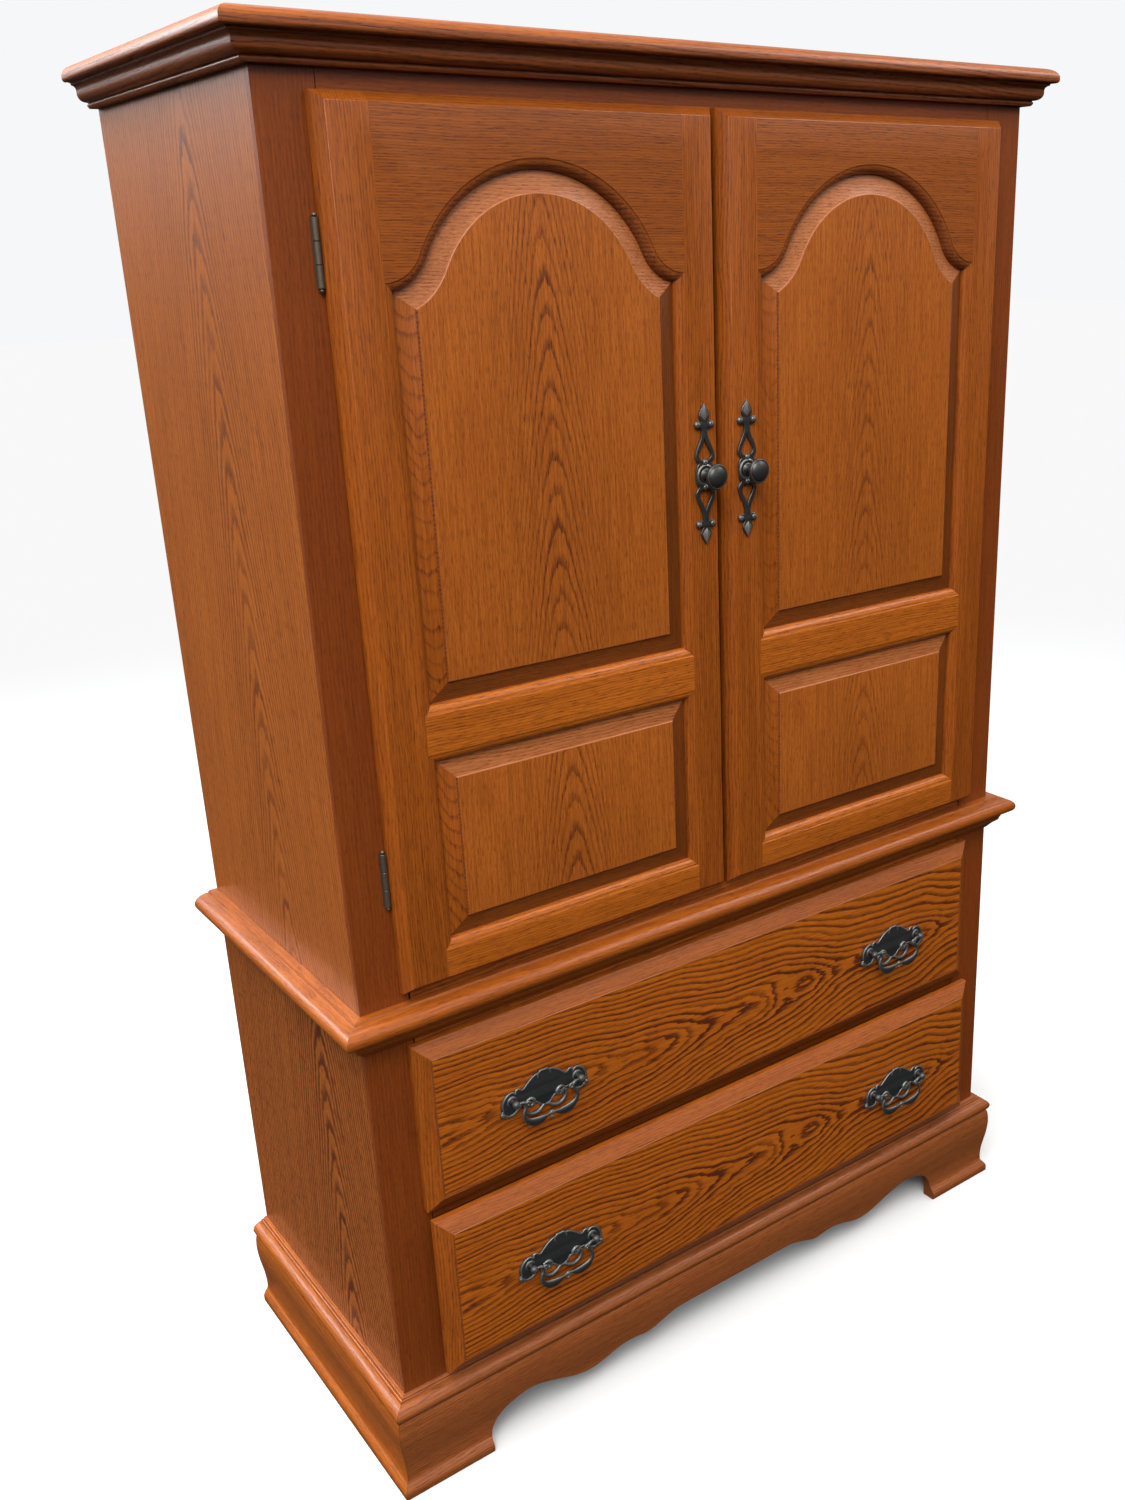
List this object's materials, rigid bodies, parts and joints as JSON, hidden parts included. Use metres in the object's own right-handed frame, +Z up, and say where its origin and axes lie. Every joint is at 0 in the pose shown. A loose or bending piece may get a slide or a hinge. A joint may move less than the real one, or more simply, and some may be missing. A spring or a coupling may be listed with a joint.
{
  "type": "armoire",
  "caption": "Armoire with arched raised-panel doors on side hinges over sliding drawers, with hanging bail pulls, crown, waist moulding and scalloped bracket base.",
  "frame": {"origin": "on the floor, under the middle of the overall box", "axes": "+Z up, +X to the viewer's right facing the front, doors and drawers open towards -Y"},
  "size_m": [1.046, 0.4748, 1.593],
  "materials": {
    "oak": "stained oak under a satin lacquer",
    "oak_shade": "darker stained oak, satin",
    "raw_oak": "unstained wood, matt",
    "pewter": "antique pewter with worn edges",
    "bronze": "dark antique bronze"
  },
  "bodies": {
    "case": {"back_panel": "raw_oak", "base_floor": "oak_shade", "base_front": "oak", "base_left": "oak", "base_right": "oak", "cabinet_floor": "oak", "crown_moulding": "oak", "door_left_lower_hinge_frame_leaf": "bronze", "door_left_upper_hinge_frame_leaf": "bronze", "door_right_lower_hinge_frame_leaf": "bronze", "door_right_upper_hinge_frame_leaf": "bronze", "drawer_divider": "oak_shade", "frame_stile_left": "oak_shade", "frame_stile_right": "oak_shade", "frame_top_rail": "oak_shade", "shelf": "oak", "side_panel_left": "oak", "side_panel_right": "oak", "top_board": "oak", "waist_moulding": "oak"},
    "door_left": {"door_left_bottom_rail": "oak", "door_left_inner_stile": "oak", "door_left_knob": "pewter", "door_left_knob_plate": "pewter", "door_left_lower_hinge_door_leaf": "bronze", "door_left_lower_panel": "oak", "door_left_middle_rail": "oak", "door_left_outer_stile": "oak", "door_left_top_rail": "oak", "door_left_upper_hinge_door_leaf": "bronze", "door_left_upper_panel": "oak"},
    "door_right": {"door_right_bottom_rail": "oak", "door_right_inner_stile": "oak", "door_right_knob": "pewter", "door_right_knob_plate": "pewter", "door_right_lower_hinge_door_leaf": "bronze", "door_right_lower_panel": "oak", "door_right_middle_rail": "oak", "door_right_outer_stile": "oak", "door_right_top_rail": "oak", "door_right_upper_hinge_door_leaf": "bronze", "door_right_upper_panel": "oak"},
    "drawer_lower": {"drawer_lower_back": "raw_oak", "drawer_lower_bottom": "raw_oak", "drawer_lower_front": "oak", "drawer_lower_pull_plate_left": "pewter", "drawer_lower_pull_plate_right": "pewter", "drawer_lower_side_left": "raw_oak", "drawer_lower_side_right": "raw_oak"},
    "drawer_lower_bail_left": {"drawer_lower_bail_left": "pewter"},
    "drawer_lower_bail_right": {"drawer_lower_bail_right": "pewter"},
    "drawer_upper": {"drawer_upper_back": "raw_oak", "drawer_upper_bottom": "raw_oak", "drawer_upper_front": "oak", "drawer_upper_pull_plate_left": "pewter", "drawer_upper_pull_plate_right": "pewter", "drawer_upper_side_left": "raw_oak", "drawer_upper_side_right": "raw_oak"},
    "drawer_upper_bail_left": {"drawer_upper_bail_left": "pewter"},
    "drawer_upper_bail_right": {"drawer_upper_bail_right": "pewter"}
  },
  "joints": [
    {"name": "door_left_swing", "type": "hinge", "parent": "case", "child": "door_left", "pos_m": [-0.4465, -0.19005, 1.0935], "axis": [0, 0, -1], "range_deg": [0, 110]},
    {"name": "door_right_swing", "type": "hinge", "parent": "case", "child": "door_right", "pos_m": [0.4465, -0.19005, 1.0935], "axis": [0, 0, 1], "range_deg": [0, 110]},
    {"name": "drawer_upper_slide", "type": "slide", "parent": "case", "child": "drawer_upper", "axis": [0, -1, 0], "range_m": [0, 0.3]},
    {"name": "drawer_lower_slide", "type": "slide", "parent": "case", "child": "drawer_lower", "axis": [0, -1, 0], "range_m": [-0.013, 0.287]},
    {"name": "drawer_upper_bail_left_hinge", "type": "hinge", "parent": "drawer_upper", "child": "drawer_upper_bail_left", "pos_m": [-0.285, -0.21795, 0.48025], "axis": [-1, 0, 0], "range_deg": [0, 95]},
    {"name": "drawer_upper_bail_right_hinge", "type": "hinge", "parent": "drawer_upper", "child": "drawer_upper_bail_right", "pos_m": [0.285, -0.21795, 0.48025], "axis": [-1, 0, 0], "range_deg": [0, 95]},
    {"name": "drawer_lower_bail_left_hinge", "type": "hinge", "parent": "drawer_lower", "child": "drawer_lower_bail_left", "pos_m": [-0.285, -0.23095, 0.25875], "axis": [-1, 0, 0], "range_deg": [0, 95]},
    {"name": "drawer_lower_bail_right_hinge", "type": "hinge", "parent": "drawer_lower", "child": "drawer_lower_bail_right", "pos_m": [0.285, -0.23095, 0.25875], "axis": [-1, 0, 0], "range_deg": [0, 95]}
  ]
}
